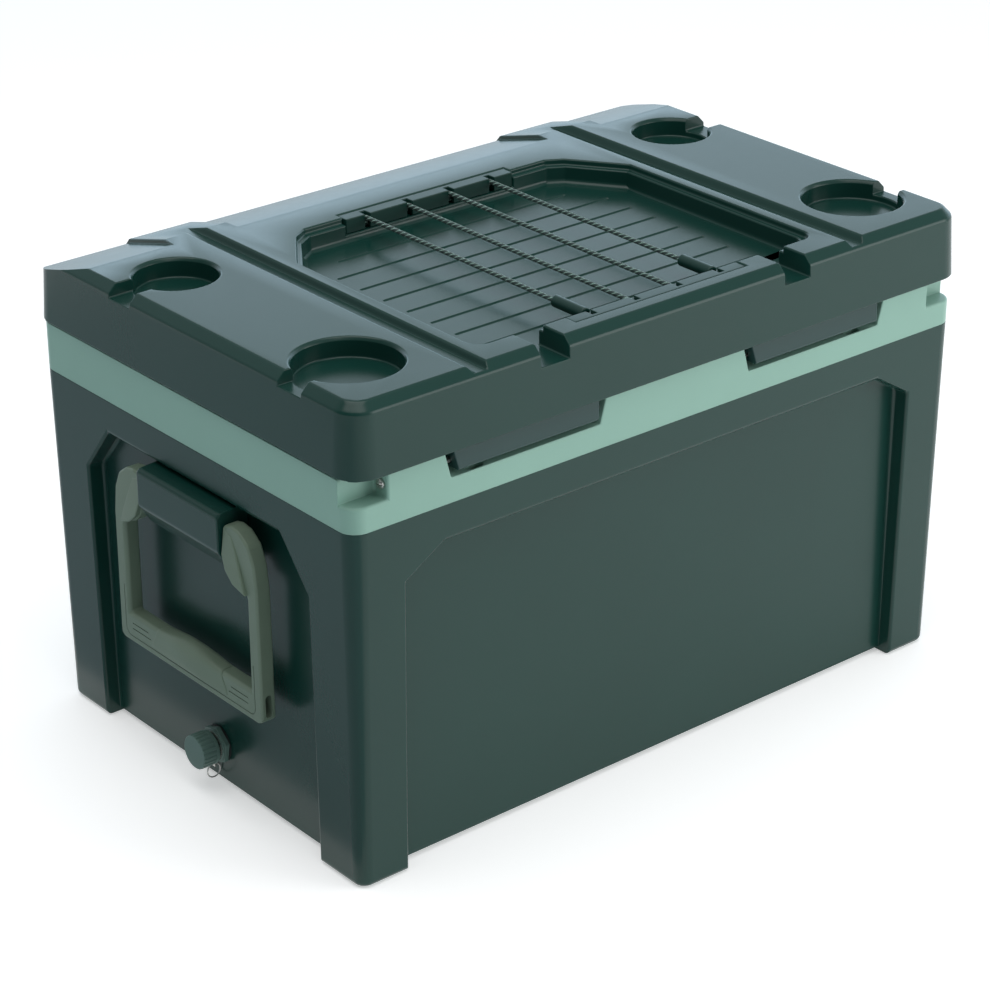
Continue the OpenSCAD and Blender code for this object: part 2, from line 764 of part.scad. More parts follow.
module cord_clamps() {
    color(dark_green) for (s = [-1, 1]) difference() {
        rod_y(s * 1.5 * cord_pitch, tray_front + 3.5, tray_front + 42, cord_height, 5.4);
        rod_y(s * 1.5 * cord_pitch, tray_front + 2, tray_front + 44, cord_height, cord_r + 0.02);
    }
}

outer_shell();
inner_liner();
chest_foam();
top_collar();
hinge_pins();
latch_rods();
latch_springs();
handle_mount_left();
handle_mount_right();
handle_pins();
handle_plates();
handle_screws();
drain_spout();
drain_washer();
drain_nut();
tether_ring();
lid_shell();
lid_liner();
lid_foam();
lid_gasket();
hinge_knuckles();
hinge_screws();
latch_catches();
bungee_bar_rear();
bungee_bar_front();
bungee_cord();
cord_clamps();
latch_flap_left();
latch_flap_right();
bail_left();
bail_right();
grip_left();
grip_right();
drain_cap();
drain_cap_seal();
tether_loop();
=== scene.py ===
import json
import math

import bmesh
import bpy
from mathutils import Matrix, Vector
from mathutils.bvhtree import BVHTree


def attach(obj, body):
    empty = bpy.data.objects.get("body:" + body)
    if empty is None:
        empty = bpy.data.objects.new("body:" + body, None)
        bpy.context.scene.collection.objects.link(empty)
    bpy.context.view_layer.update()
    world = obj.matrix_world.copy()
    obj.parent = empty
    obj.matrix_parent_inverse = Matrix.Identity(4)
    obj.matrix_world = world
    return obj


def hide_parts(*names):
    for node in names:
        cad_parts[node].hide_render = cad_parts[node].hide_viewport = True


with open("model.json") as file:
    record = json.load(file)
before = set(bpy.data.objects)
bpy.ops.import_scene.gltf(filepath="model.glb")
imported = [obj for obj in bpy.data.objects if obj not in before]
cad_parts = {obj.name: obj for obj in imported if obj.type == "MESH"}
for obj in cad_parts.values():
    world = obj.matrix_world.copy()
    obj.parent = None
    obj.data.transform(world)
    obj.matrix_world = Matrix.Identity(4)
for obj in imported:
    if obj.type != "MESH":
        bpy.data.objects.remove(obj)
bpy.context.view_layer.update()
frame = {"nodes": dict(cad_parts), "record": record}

MM = 0.001
nodes = frame["nodes"]
body_of = {n: b for b, ns in frame["record"]["behaviour"]["bodies"].items() for n in ns}
scene = bpy.context.scene


# ---------------------------------------------------------------- materials

def shader_tree(mat):
    """Empties the material's node tree and gives it a Principled shader wired to the output."""
    mat.use_nodes = True
    t = mat.node_tree
    t.nodes.clear()
    out = t.nodes.new("ShaderNodeOutputMaterial")
    bsdf = t.nodes.new("ShaderNodeBsdfPrincipled")
    t.links.new(bsdf.outputs[0], out.inputs[0])
    return t, bsdf


def node(t, kind, **vals):
    """Adds a node; a name that starts with i_ sets an input, any other sets a property."""
    n = t.nodes.new(kind)
    for k, v in vals.items():
        if k.startswith("i_"):
            key = k[2:]
            n.inputs[int(key) if key.isdigit() else key.replace("_", " ")].default_value = v
        else:
            setattr(n, k, v)
    return n


def ramp(t, stops, src):
    """A colour ramp with the given (position, colour) stops, fed from src."""
    r = t.nodes.new("ShaderNodeValToRGB")
    e = r.color_ramp.elements
    while len(e) > 1:
        e.remove(e[-1])
    for i, (pos, col) in enumerate(stops):
        el = e[0] if i == 0 else e.new(pos)
        el.position = pos
        el.color = (*col, 1) if len(col) == 3 else col
    t.links.new(src, r.inputs[0])
    return r.outputs[0]


def grey(v):
    return (v, v, v)


PLASTIC_IOR = 1.4


def plastic(name, base, rough=0.32, peel=0.05, grain=0.0, edge=0.10, mottle=0.04, wear_r=0.0010):
    """Moulded plastic: slight shade drift, orange-peel bump, scuffed edges and uneven gloss."""
    mat = bpy.data.materials.new(name)
    t, b = shader_tree(mat)
    co = t.nodes.new("ShaderNodeTexCoord").outputs["Object"]
    big = node(t, "ShaderNodeTexNoise", i_Scale=7.0, i_Detail=3.0, i_Roughness=0.6)
    t.links.new(co, big.inputs["Vector"])
    dark = tuple(c * (1 - mottle) for c in base)
    light = tuple(min(1, c * (1 + mottle)) for c in base)
    shade = ramp(t, [(0.3, dark), (0.7, light)], big.outputs["Fac"])
    geo = t.nodes.new("ShaderNodeNewGeometry")
    bev = node(t, "ShaderNodeBevel", samples=4, i_Radius=wear_r)
    dot = node(t, "ShaderNodeVectorMath", operation="DOT_PRODUCT")
    t.links.new(bev.outputs[0], dot.inputs[0])
    t.links.new(geo.outputs["Normal"], dot.inputs[1])
    edge_mask = ramp(t, [(0.90, grey(1.0)), (0.995, grey(0.0))], dot.outputs["Value"])
    scuff = node(t, "ShaderNodeTexNoise", i_Scale=160.0, i_Detail=4.0, i_Roughness=0.7)
    t.links.new(co, scuff.inputs["Vector"])
    scuff_r = ramp(t, [(0.42, grey(0.15)), (0.68, grey(1.0))], scuff.outputs["Fac"])
    mul = node(t, "ShaderNodeMath", operation="MULTIPLY")
    t.links.new(edge_mask, mul.inputs[0])
    t.links.new(scuff_r, mul.inputs[1])
    amt = node(t, "ShaderNodeMath", operation="MULTIPLY", i_1=edge)
    t.links.new(mul.outputs[0], amt.inputs[0])
    mix = node(t, "ShaderNodeMix", data_type="RGBA")
    mix.inputs[7].default_value = (*[min(1, c * 1.4 + 0.02) for c in base], 1)
    t.links.new(amt.outputs[0], mix.inputs[0])
    t.links.new(shade, mix.inputs[6])
    t.links.new(mix.outputs[2], b.inputs["Base Color"])
    fine = node(t, "ShaderNodeTexNoise", i_Scale=45.0, i_Detail=5.0, i_Roughness=0.65)
    t.links.new(co, fine.inputs["Vector"])
    mr = node(t, "ShaderNodeMapRange")
    mr.inputs["To Min"].default_value = max(0.03, rough - 0.02)
    mr.inputs["To Max"].default_value = rough + 0.03
    t.links.new(fine.outputs["Fac"], mr.inputs["Value"])
    t.links.new(mr.outputs[0], b.inputs["Roughness"])
    orange = node(t, "ShaderNodeTexNoise", i_Scale=420.0, i_Detail=2.0, i_Roughness=0.5)
    t.links.new(co, orange.inputs["Vector"])
    bump = node(t, "ShaderNodeBump", i_Strength=peel, i_Distance=0.0006)
    t.links.new(orange.outputs["Fac"], bump.inputs["Height"])
    last = bump
    if grain:
        vor = node(t, "ShaderNodeTexVoronoi", i_Scale=1300.0)
        t.links.new(co, vor.inputs["Vector"])
        bump2 = node(t, "ShaderNodeBump", i_Strength=grain, i_Distance=0.0003)
        t.links.new(vor.outputs["Distance"], bump2.inputs["Height"])
        t.links.new(bump.outputs[0], bump2.inputs["Normal"])
        last = bump2
    t.links.new(last.outputs[0], b.inputs["Normal"])
    b.inputs["IOR"].default_value = PLASTIC_IOR
    return mat


def metal(name, base=(0.62, 0.61, 0.58), rough=0.28, axis=(1.0, 1.0, 1.0)):
    """Turned or drawn metal: fine lines along the axis given, a patchy tone and uneven gloss."""
    mat = bpy.data.materials.new(name)
    t, b = shader_tree(mat)
    co = t.nodes.new("ShaderNodeTexCoord").outputs["Object"]
    mp = node(t, "ShaderNodeMapping")
    mp.inputs["Scale"].default_value = axis
    t.links.new(co, mp.inputs["Vector"])
    n1 = node(t, "ShaderNodeTexNoise", i_Scale=900.0, i_Detail=4.0)
    t.links.new(mp.outputs[0], n1.inputs["Vector"])
    n2 = node(t, "ShaderNodeTexNoise", i_Scale=60.0, i_Detail=3.0)
    t.links.new(co, n2.inputs["Vector"])
    shade = ramp(t, [(0.3, tuple(c * 0.75 for c in base)), (0.7, base)], n2.outputs["Fac"])
    gloss = ramp(t, [(0.3, grey(rough - 0.08)), (0.7, grey(rough + 0.14))], n1.outputs["Fac"])
    t.links.new(shade, b.inputs["Base Color"])
    t.links.new(gloss, b.inputs["Roughness"])
    bump = node(t, "ShaderNodeBump", i_Strength=0.12, i_Distance=0.0002)
    t.links.new(n1.outputs["Fac"], bump.inputs["Height"])
    t.links.new(bump.outputs[0], b.inputs["Normal"])
    b.inputs["Metallic"].default_value = 1.0
    return mat


def soft_stuff(name, base, rough, scale, strength, spread=0.15):
    """Rubber and foam: cellular grain with darker pits."""
    mat = bpy.data.materials.new(name)
    t, b = shader_tree(mat)
    co = t.nodes.new("ShaderNodeTexCoord").outputs["Object"]
    v = node(t, "ShaderNodeTexVoronoi", i_Scale=scale)
    t.links.new(co, v.inputs["Vector"])
    n1 = node(t, "ShaderNodeTexNoise", i_Scale=scale * 0.15, i_Detail=4.0)
    t.links.new(co, n1.inputs["Vector"])
    dark = tuple(c * (1 - spread) for c in base)
    light = tuple(min(1, c * (1 + spread)) for c in base)
    shade = ramp(t, [(0.3, dark), (0.7, light)], n1.outputs["Fac"])
    gloss = ramp(t, [(0.2, grey(rough - 0.08)), (0.8, grey(min(1, rough + 0.08)))], n1.outputs["Fac"])
    t.links.new(shade, b.inputs["Base Color"])
    t.links.new(gloss, b.inputs["Roughness"])
    bump = node(t, "ShaderNodeBump", i_Strength=strength, i_Distance=0.0006)
    t.links.new(v.outputs["Distance"], bump.inputs["Height"])
    t.links.new(bump.outputs[0], b.inputs["Normal"])
    return mat


STRANDS, BRAID_PITCH, ABOVE_ZERO = 8.0, 2.3, 400.0


def cord_material():
    """Braided sleeve: dark diamonds with pale flecks, laid out on the tube's UVs (u round, v in mm along)."""
    mat = bpy.data.materials.new("cord_braid")
    t, b = shader_tree(mat)
    uv = t.nodes.new("ShaderNodeTexCoord").outputs["UV"]
    sep = t.nodes.new("ShaderNodeSeparateXYZ")
    t.links.new(uv, sep.inputs[0])

    def maths(op, a, c=None):
        n = t.nodes.new("ShaderNodeMath")
        n.operation = op
        for i, x in enumerate((a, c)):
            if x is None:
                continue
            if isinstance(x, (int, float)):
                n.inputs[i].default_value = x
            else:
                t.links.new(x, n.inputs[i])
        return n.outputs[0]
    round_tube = maths("MULTIPLY", sep.outputs[0], STRANDS)
    along_tube = maths("MULTIPLY", sep.outputs[1], 1.0 / BRAID_PITCH)
    p = maths("ADD", round_tube, along_tube)
    q = maths("SUBTRACT", round_tube, along_tube)

    def strand(x):
        return maths("SUBTRACT", 1.0, maths("ABSOLUTE", maths("SUBTRACT", maths("MULTIPLY", x, 2.0), 1.0)))
    height_p, height_q = strand(maths("FRACT", p)), strand(maths("FRACT", q))
    height = maths("MAXIMUM", height_p, height_q)
    every_third = maths("MODULO", maths("ADD", maths("FLOOR", p), ABOVE_ZERO), 3.0)
    crossing = maths("GREATER_THAN", maths("MULTIPLY", height_p, height_q), 0.18)
    fleck = maths("MULTIPLY", maths("LESS_THAN", every_third, 0.5), crossing)
    mix = node(t, "ShaderNodeMix", data_type="RGBA")
    t.links.new(fleck, mix.inputs[0])
    n1 = node(t, "ShaderNodeTexNoise", i_Scale=900.0, i_Detail=3.0)
    yarn = ramp(t, [(0.35, (0.004, 0.020, 0.018)), (0.7, (0.012, 0.050, 0.042))], n1.outputs["Fac"])
    t.links.new(yarn, mix.inputs[6])
    mix.inputs[7].default_value = (0.36, 0.58, 0.50, 1)
    t.links.new(mix.outputs[2], b.inputs["Base Color"])
    t.links.new(ramp(t, [(0.2, grey(0.55)), (0.9, grey(0.8))], n1.outputs["Fac"]), b.inputs["Roughness"])
    bump = node(t, "ShaderNodeBump", i_Strength=0.6, i_Distance=0.0004)
    t.links.new(height, bump.inputs["Height"])
    t.links.new(bump.outputs[0], b.inputs["Normal"])
    b.inputs["Sheen Weight"].default_value = 0.2
    return mat


GREEN = plastic("green_satin", (0.0055, 0.0400, 0.0315), rough=0.25, peel=0.03)
GREEN_FINE = plastic("green_fitting", (0.0055, 0.0380, 0.0300),
                     rough=0.31, peel=0.04, grain=0.05, wear_r=0.0005)
FLAP = plastic("green_latch", (0.0140, 0.0480, 0.0450), rough=0.33, peel=0.04, grain=0.04, wear_r=0.0005)
SAGE = plastic("sage_satin", (0.245, 0.425, 0.350), rough=0.32, peel=0.04, edge=0.06, mottle=0.03)
OLIVE = plastic("olive_bail", (0.150, 0.205, 0.150),
                rough=0.40, peel=0.04, grain=0.08, edge=0.06, wear_r=0.0008)
OLIVE_GRIP = plastic("olive_grip", (0.150, 0.205, 0.150),
                     rough=0.48, peel=0.05, grain=0.20, edge=0.03, wear_r=0.0008)
CAP = plastic("cap_plastic", (0.110, 0.185, 0.160),
              rough=0.40, peel=0.04, grain=0.08, edge=0.08, wear_r=0.0005)
LINER = plastic("liner_plastic", (0.62, 0.65, 0.63), rough=0.35, peel=0.05, edge=0.0, mottle=0.03)
FOAM = soft_stuff("rigid_foam", (0.72, 0.64, 0.44), 0.85, 700.0, 0.5)
RUBBER = soft_stuff("seal_rubber", (0.018, 0.018, 0.018), 0.62, 1500.0, 0.15)
STEEL = metal("steel_turned", axis=(0.05, 1.0, 1.0))
WIRE = metal("steel_wire", (0.55, 0.55, 0.53), 0.24)
CORD = cord_material()

MATS = {
    "green_plastic": GREEN, "sage_plastic": SAGE, "olive_plastic": OLIVE, "olive_grip": OLIVE_GRIP,
    "cap_plastic": CAP, "liner_plastic": LINER, "foam": FOAM, "steel": STEEL, "seal_rubber": RUBBER,
    "cord": CORD,
}
slot_of = {s["node"]: s["material_slot"] for s in frame["record"]["subparts"]}
for n, o in nodes.items():
    o.data.materials.clear()
    o.data.materials.append(MATS[slot_of[n]])
for n in ("bungee_bar_rear", "bungee_bar_front", "cord_clamps", "hinge_knuckles"):
    nodes[n].data.materials[0] = GREEN_FINE
for n in ("latch_flap_left", "latch_flap_right"):
    nodes[n].data.materials[0] = FLAP
nodes["tether_loop"].data.materials[0] = WIRE


# ---------------------------------------------------------------- geometry helpers

MERGE_DISTANCE, FLAT_DEGREES = 4e-6, 0.5


def cleaned(name):
    """The CAD mesh of a node with its double points merged and its flat faces joined."""
    bm = bmesh.new()
    bm.from_mesh(nodes[name].data)
    bmesh.ops.remove_doubles(bm, verts=bm.verts, dist=MERGE_DISTANCE)
    bmesh.ops.dissolve_degenerate(bm, dist=1e-6, edges=bm.edges)
    bmesh.ops.dissolve_limit(bm, angle_limit=math.radians(FLAT_DEGREES), use_dissolve_boundaries=False,
                             verts=bm.verts, edges=bm.edges)
    return bm


AROUND = [Vector((math.cos(t), math.sin(t), 0)) for t in [math.pi / 4 * i for i in range(8)]]
UPWARD = AROUND + [(v + Vector((0, 0, 1))).normalized() for v in AROUND] + [Vector((0, 0, 1))]
DOWNWARD = AROUND + [Vector((0, 0, -1))]


def mark_edges(bm, rule, min_angle=24.0, seen_from=None):
    """Gives each edge its fillet radius from rule(), shared along a chain and kept within the room beside it.

    With seen_from, only edges that can be seen from one of those directions get a fillet."""
    lay = bm.edges.layers.float.get("bevel_weight_edge") or bm.edges.layers.float.new("bevel_weight_edge")
    bm.normal_update()
    tree = BVHTree.FromBMesh(bm)

    def hidden(e):
        n = e.link_faces[0].normal + e.link_faces[1].normal
        start = (e.verts[0].co + e.verts[1].co) / 2 + n.normalized() * 0.3 * MM
        return all(tree.ray_cast(start, d)[0] is not None for d in seen_from)
    cand = {}
    for e in bm.edges:
        if len(e.link_faces) != 2:
            continue
        a = math.degrees(e.calc_face_angle(0.0))
        if a < min_angle:
            continue
        p, q = e.verts[0].co, e.verts[1].co
        r = rule((p + q) / 2 / MM, (q - p).normalized(), e.is_convex)
        if r > 0 and not (seen_from and hidden(e)):
            cand[e] = r
    root = {e: e for e in cand}

    def find(e):
        while root[e] is not e:
            root[e] = root[root[e]]
            e = root[e]
        return e
    for v in bm.verts:
        es = [e for e in v.link_edges if e in cand]
        for i, e in enumerate(es):
            for g in es[i + 1:]:
                d0 = (e.other_vert(v).co - v.co).normalized()
                d1 = (g.other_vert(v).co - v.co).normalized()
                if d0.dot(d1) < -0.76 and cand[e] == cand[g]:
                    root[find(e)] = find(g)
    room = {}
    for e in cand:
        cap = 1e9
        d = (e.verts[1].co - e.verts[0].co).normalized()
        for f in e.link_faces:
            for v in e.verts:
                for g in v.link_edges:
                    if g is e or f not in g.link_faces:
                        continue
                    gl = g.calc_length()
                    dg = (g.other_vert(v).co - v.co) / max(gl, 1e-9)
                    s = math.sqrt(max(0.0, 1 - dg.dot(d) ** 2))
                    if s > 0.55:
                        far = any(h in cand for h in g.other_vert(v).link_edges if h is not g)
                        cap = min(cap, gl * s * (0.46 if far else 0.85) / MM)
        k = find(e)
        room[k] = min(room.get(k, 1e9), cap)
    top = 0.1
    got = {}
    for e, r in cand.items():
        got[e] = max(0.05, min(r, room[find(e)]))
        top = max(top, got[e])
    for e, r in got.items():
        e[lay] = r / top
    return top


def finish_mesh(bm, name, mat):
    """Makes a smooth object of one material from bm, without the normals that came with it."""
    me = bpy.data.meshes.new(name)
    bm.to_mesh(me)
    bm.free()
    if "custom_normal" in me.attributes:
        me.attributes.remove(me.attributes["custom_normal"])
    me.materials.clear()
    me.materials.append(mat)
    for p in me.polygons:
        p.use_smooth = True
        p.material_index = 0
    o = bpy.data.objects.new(name, me)
    scene.collection.objects.link(o)
    return o


def shaded(o, turn=50.0):
    """Corner normals weighted by area over neighbours that turn less than the angle, so flats stay flat."""
    me = o.data
    lim = math.cos(math.radians(turn))
    around = [[] for _ in me.vertices]
    for p in me.polygons:
        p.use_smooth = True
        n, w = p.normal.copy(), p.area
        for v in p.vertices:
            around[v].append((n, w))
    out = []
    for p in me.polygons:
        n = p.normal
        for v in p.vertices:
            total = Vector()
            for m, w in around[v]:
                if m.dot(n) > lim:
                    total += m * w
            out.append(total.normalized() if total.length > 1e-15 else n)
    me.normals_split_custom_set([tuple(v) for v in out])
    return o


def applied(o):
    """Turns the object's modifiers into its mesh."""
    dg = bpy.context.evaluated_depsgraph_get()
    me = bpy.data.meshes.new_from_object(o.evaluated_get(dg), depsgraph=dg)
    o.modifiers.clear()
    old = o.data
    o.data = me
    bpy.data.meshes.remove(old)
    return o


def place(o, name):
    """o stands for CAD node name, on its body."""
    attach(o, body_of[name])
    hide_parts(name)
    return o


def filleted(o, widest, segs, profile=0.5, clamp=False):
    """Rounds the marked edges, the widest to the radius given in millimetres."""
    b = o.modifiers.new("fillets", "BEVEL")
    b.limit_method = "WEIGHT"
    b.width = widest * MM
    b.segments = segs
    b.profile = profile
    b.use_clamp_overlap = clamp
    b.loop_slide = True
    return applied(o)


MANY_SIDED = 12


def soft(name, rule, segs=3, seen_from=None):
    """The CAD solid with moulded edges: rule is one fillet radius, or gives each edge its own, in mm."""
    bm = cleaned(name)
    widest = mark_edges(bm, rule if callable(rule) else lambda mid, along, convex: rule, seen_from=seen_from)
    o = finish_mesh(bm, name + "_moulded", nodes[name].data.materials[0])
    filleted(o, widest, segs)
    bm = bmesh.new()
    bm.from_mesh(o.data)
    bmesh.ops.triangulate(bm, faces=[f for f in bm.faces if len(f.verts) > MANY_SIDED], ngon_method="BEAUTY")
    bm.to_mesh(o.data)
    bm.free()
    return place(shaded(o), name)


def rings_mesh(rings, name, mat, closed=False):
    """Skins a list of rings of points; open ends get flat caps."""
    bm = bmesh.new()
    rows = [[bm.verts.new(p) for p in ring] for ring in rings]
    n = len(rows[0])
    pairs = list(zip(rows, rows[1:])) + ([(rows[-1], rows[0])] if closed else [])
    for a, b in pairs:
        for i in range(n):
            bm.faces.new((a[i], a[(i + 1) % n], b[(i + 1) % n], b[i]))
    if not closed:
        bm.faces.new(list(reversed(rows[0])))
        bm.faces.new(rows[-1])
    bmesh.ops.recalc_face_normals(bm, faces=bm.faces)
    return finish_mesh(bm, name, mat)


def prism(points, x0, x1, name, mat):
    """A solid between two x planes with the given (y, z) outline, all in millimetres."""
    return rings_mesh([[Vector((x, y, z)) * MM for y, z in points] for x in (x0, x1)], name, mat)


def cut(o, cutters):
    """Takes the cutter solids out of o."""
    for c in cutters:
        m = o.modifiers.new("groove", "BOOLEAN")
        m.operation = "DIFFERENCE"
        m.solver = "EXACT"
        m.object = c
    applied(o)
    for c in cutters:
        me = c.data
        bpy.data.objects.remove(c)
        bpy.data.meshes.remove(me)
    return o


# ---------------------------------------------------------------- moulded parts

# Levels in millimetres that tell the edges of the shell, the collar and the lid apart.
FOOT_SOLE, TUB_BOTTOM, PANEL_HEAD, SHELL_RIM = 0.5, 6.0, 290.0, 330.0
COLLAR_RIM, COLLAR_LEDGE, COLLAR_UPPER, COLLAR_HEAD = 333.5, 340.0, 370.0, 377.0
LID_RIM, BEVEL_LOW, BEVEL_HIGH, LID_HEAD = 381.0, 436.0, 438.0, 444.5
TRAY_LEVEL, TRAY_HALF, TRAY_FRONT, TRAY_REAR, NOTCH_SIDE = 424.5, 195.0, -196.0, 110.0, -185.0
LATCH_HEAD, LATCH_FACE = 362.5, -227.0


def shell_rule(mid, along, convex):
    x, y, z = abs(mid.x), abs(mid.y), mid.z
    if z < FOOT_SOLE:
        return 6.0 if (x > 333 or y > 213) else 1.2
    if z < TUB_BOTTOM:
        return 3.0 if convex else 0.0
    if z > SHELL_RIM:
        return 0.5
    if abs(along.z) < 0.1 and convex:
        return 6.0 if z > PANEL_HEAD else 3.0
    return 3.0 if convex else 3.5


def collar_rule(mid, along, convex):
    x, y, z = abs(mid.x), mid.y, mid.z
    if z < COLLAR_RIM:
        return 0.5
    if y < -200 and z > COLLAR_LEDGE:
        if x > 305:
            return 2.5
        if z > COLLAR_HEAD:
            return 0.8
        return 1.6
    if z > COLLAR_UPPER and (x > 340 or abs(y) > 218):
        return 1.5
    return 0.6


def lid_rule(mid, along, convex):
    x, y, z = abs(mid.x), mid.y, mid.z
    if z < LID_RIM:
        return 1.2 if (x > 345 or abs(y) > 228) else 0.0
    at_rim = x > 335 or abs(y) > 220
    if at_rim and BEVEL_LOW < z < BEVEL_HIGH:
        return 2.0
    if at_rim and z < LID_HEAD:
        return 0.9
    if at_rim:
        return 1.6
    if z < TRAY_LEVEL and x < TRAY_HALF and TRAY_FRONT < y < TRAY_REAR:
        return 0.5 if convex or y < NOTCH_SIDE else 5.0
    return 1.8


def flap_rule(mid, along, convex):
    return 0.9 if mid.z > LATCH_HEAD or mid.y < LATCH_FACE else 1.4


soft("outer_shell", shell_rule, segs=4, seen_from=DOWNWARD)
soft("top_collar", collar_rule, seen_from=UPWARD)
soft("lid_shell", lid_rule, seen_from=UPWARD)
for s in ("left", "right"):
    soft("handle_mount_" + s, 2.6)
    soft("latch_flap_" + s, flap_rule)
for n in ("bungee_bar_rear", "bungee_bar_front"):
    soft(n, 0.8)
soft("drain_cap", 0.5)
soft("cord_clamps", 0.9)
soft("drain_spout", 0.4)
soft("hinge_knuckles", 1.0)


# ---------------------------------------------------------------- handles

BAIL_HALF, BAIL_IN, BAIL_LOW, BAIL_TOP = 107.0, 91.0, 113.5, 289.0
BAIL_OUT_X, BAIL_BACK_X = 357.0, 342.0
BAR_TOP = 142.0
BLOCK_Y = 60.0
SIDE_HOLE = (349.5, 122.5, 137.5, 3.2)
GROOVE_Y, GROOVE_Z, GROOVE_R, GROOVE_TOP = 97.5, 119.5, 7.0, 168.0
GRIP_X, GRIP_Z, GRIP_FLAT_Z, GRIP_HALF, GRIP_TAPER = 349.5, 130.0, 121.5, 57.0, 9.0
GRIP_FROM, GRIP_TO = -46.0, 228.0


def bail_outline():
    """The (y, z) outline of a hanging bail, front half and its mirror."""
    half = [(BAIL_HALF - 5, BAIL_LOW), (BAIL_HALF, BAIL_LOW + 4), (BAIL_HALF - 1, 238), (BAIL_HALF - 4, 262),
            (96, 278), (84, BAIL_TOP - 2), (72, BAIL_TOP), (BLOCK_Y + 1, BAIL_TOP - 3), (BLOCK_Y + 1, 259),
            (67, 246), (78, 236), (BAIL_IN - 2, 234), (BAIL_IN, 228), (BAIL_IN, BAR_TOP)]
    return half + [(-y, z) for y, z in reversed(half)]


def band(path, w):
    """Outline of a line of width w along path, with round ends."""
    left, right = [], []
    for i, p in enumerate(path):
        a, b = path[max(0, i - 1)], path[min(len(path) - 1, i + 1)]
        d = Vector((b[0] - a[0], b[1] - a[1])).normalized()
        n = Vector((-d.y, d.x)) * (w / 2)
        left.append((p[0] + n.x, p[1] + n.y))
        right.append((p[0] - n.x, p[1] - n.y))

    def end(c, first):
        v = Vector((first[0] - c[0], first[1] - c[1]))
        return [(c[0] + v.x * math.cos(t) + v.y * math.sin(t), c[1] - v.x * math.sin(t) + v.y * math.cos(t))
                for t in (math.pi / 4, math.pi / 2, 3 * math.pi / 4)]
    return left + end(path[-1], left[-1]) + right[::-1] + end(path[0], right[0])


def stadium_y(side, y0, y1, mat):
    """The oval hole through the side of an arm's lower end."""
    x, z0, z1, r = SIDE_HOLE
    ring = [(x + r * math.sin(t), z1 + r * math.cos(t)) for t in [math.pi * (i / 8 - 0.5) for i in range(9)]]
    ring += [(2 * x - px, z0 + z1 - pz) for px, pz in ring]
    return rings_mesh([[Vector((side * px, y, pz)) * MM for px, pz in ring] for y in (y0, y1)], "hole", mat)


def bail_rule(mid, along, convex):
    return 3.8 if abs(mid.x) > 350 else 2.0 if abs(mid.x) < 343 else 3.0


def bail(side, name):
    """The bail: rounded arms, outline groove, four short grooves, and an oval hole in each arm's side."""
    bm = bmesh.new()
    o = prism(bail_outline(), side * BAIL_BACK_X, side * BAIL_OUT_X, name + "_blank", OLIVE)
    bm.from_mesh(o.data)
    bpy.data.objects.remove(o)
    widest = mark_edges(bm, bail_rule)
    o = finish_mesh(bm, name + "_moulded", OLIVE)
    filleted(o, widest, 4, profile=0.45)
    deep, over = side * (BAIL_OUT_X - 0.8), side * (BAIL_OUT_X + 2)
    turns = [math.pi / 2 * i / 8 for i in range(9)]
    cy, cz = GROOVE_Y - GROOVE_R, GROOVE_Z + GROOVE_R
    corner = [(cy + GROOVE_R * math.sin(t), cz - GROOVE_R * math.cos(t)) for t in turns]
    half = corner + [(GROOVE_Y, GROOVE_TOP)]
    path = [(-y, z) for y, z in half[::-1]] + half
    cutters = [prism(band(path, 0.8), deep, over, "groove", OLIVE)]
    for e in (-1, 1):
        for z, y0 in ((133.0, 63.0), (127.5, 59.5)):
            cutters.append(prism(band([(e * y0, z), (e * 87.0, z)], 0.9), deep, over, "dash", OLIVE))
        cutters.append(stadium_y(side, e * (BAIL_IN + 2), e * (BAIL_HALF + 1), OLIVE))
    return place(shaded(cut(o, cutters)), name)


def grip(side, name):
    """The palm grip: a pad over the bail's cross bar that swells towards the middle of the hand."""
    rings = []
    end_insets = {1.0: 1.3, 0.992: 0.45, 0.975: 0.1}
    ends = sorted(end_insets)
    stations = [-t for t in ends[::-1]] + [i / 14 * 0.95 for i in range(-14, 15)] + ends
    for t in stations:
        swell = math.cos(math.pi / 2 * min(1.0, abs(t) / 0.96)) ** 1.6
        inset = end_insets.get(abs(t), 0.0)
        ring = []
        for i in range(33):
            a = GRIP_FROM + i / 32 * (GRIP_TO - GRIP_FROM)
            c, sn = math.cos(math.radians(a)), math.sin(math.radians(a))
            p = 5.0 - 2.5 * swell
            rx = 8.3 + (3.0 if c > 0 else 0.8) * swell
            rz = (12.8 + 5.6 * swell) if sn > 0 else 12.0
            rad = ((abs(c) / rx) ** p + (abs(sn) / rz) ** p) ** (-1 / p) - inset
            rise = min(1.0, max(0.0, (a - GRIP_FROM) / 136.0))
            y_end = GRIP_HALF - GRIP_TAPER * rise * rise * (3 - 2 * rise)
            z = max(GRIP_Z + rad * sn, GRIP_FLAT_Z)
            ring.append(Vector((side * (GRIP_X + rad * c), t * y_end, z)) * MM)
        rings.append(ring)
    o = rings_mesh(rings, name + "_moulded", OLIVE_GRIP)
    return place(shaded(o, 40.0), name)


